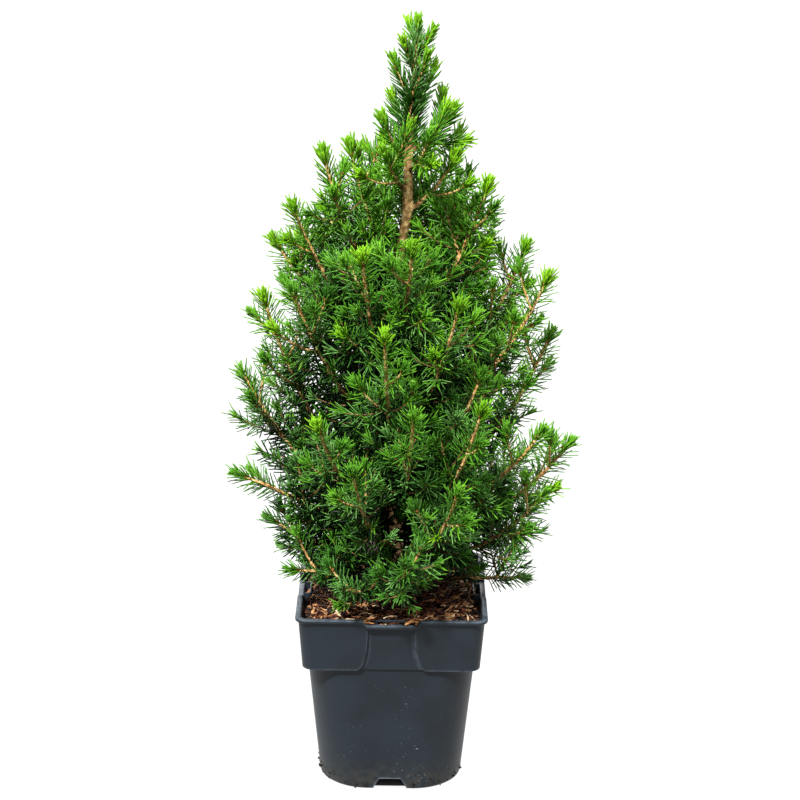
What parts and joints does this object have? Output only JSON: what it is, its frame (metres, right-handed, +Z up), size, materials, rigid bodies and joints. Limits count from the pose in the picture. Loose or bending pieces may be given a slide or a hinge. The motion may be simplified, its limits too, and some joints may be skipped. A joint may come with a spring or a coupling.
{
  "type": "potted dwarf alberta spruce",
  "caption": "Young cone-shaped dwarf spruce with upswept needle-clad boughs and a slim leader, in a square anthracite nursery pot filled with bark mulch.",
  "frame": {"origin": "middle of the pot's flat underside", "axes": "+Z up the plant, -Y towards the front, +X to the right of the front view; the pot's sides face along X and Y"},
  "size_m": [0.2456, 0.222, 0.5317],
  "materials": {
    "pot_plastic": "matt moulded anthracite plastic",
    "bark_mulch": "rough shredded bark",
    "spruce_bark": "rough tan-brown bark",
    "spruce_needles": "satin green needles"
  },
  "bodies": {
    "root": {"bough_low_left_1": "spruce_bark", "bough_low_right_2": "spruce_bark", "bough_low_right_4": "spruce_bark", "bough_middle_left_3": "spruce_bark", "bough_middle_left_4": "spruce_bark", "bough_middle_right_1": "spruce_bark", "bough_middle_right_2": "spruce_bark", "bough_skirt_right_1": "spruce_bark", "foliage_back_1": "spruce_needles", "foliage_back_2": "spruce_needles", "foliage_back_3": "spruce_needles", "foliage_back_4": "spruce_needles", "foliage_back_5": "spruce_needles", "foliage_back_6": "spruce_needles", "foliage_back_7": "spruce_needles", "foliage_back_8": "spruce_needles", "foliage_high_front_1": "spruce_needles", "foliage_high_front_2": "spruce_needles", "foliage_high_left_1": "spruce_needles", "foliage_high_left_2": "spruce_needles", "foliage_high_right_1": "spruce_needles", "foliage_high_right_2": "spruce_needles", "foliage_high_right_3": "spruce_needles", "foliage_leader": "spruce_needles", "foliage_low_front_1": "spruce_needles", "foliage_low_front_2": "spruce_needles", "foliage_low_front_3": "spruce_needles", "foliage_low_left_1": "spruce_needles", "foliage_low_left_2": "spruce_needles", "foliage_low_right_1": "spruce_needles", "foliage_low_right_2": "spruce_needles", "foliage_low_right_3": "spruce_needles", "foliage_low_right_4": "spruce_needles", "foliage_low_right_5": "spruce_needles", "foliage_middle_front_1": "spruce_needles", "foliage_middle_front_2": "spruce_needles", "foliage_middle_front_3": "spruce_needles", "foliage_middle_left_1": "spruce_needles", "foliage_middle_left_2": "spruce_needles", "foliage_middle_left_3": "spruce_needles", "foliage_middle_left_4": "spruce_needles", "foliage_middle_right_1": "spruce_needles", "foliage_middle_right_2": "spruce_needles", "foliage_neck_back": "spruce_needles", "foliage_neck_right": "spruce_needles", "foliage_skirt_front_1": "spruce_needles", "foliage_skirt_front_2": "spruce_needles", "foliage_skirt_left_1": "spruce_needles", "foliage_skirt_left_2": "spruce_needles", "foliage_skirt_right_1": "spruce_needles", "foliage_skirt_right_2": "spruce_needles", "foliage_top_back": "spruce_needles", "foliage_top_front_left": "spruce_needles", "foliage_top_front_right": "spruce_needles", "foliage_top_left": "spruce_needles", "foliage_top_right": "spruce_needles", "mulch": "bark_mulch", "pot": "pot_plastic", "trunk": "spruce_bark"}
  },
  "joints": []
}
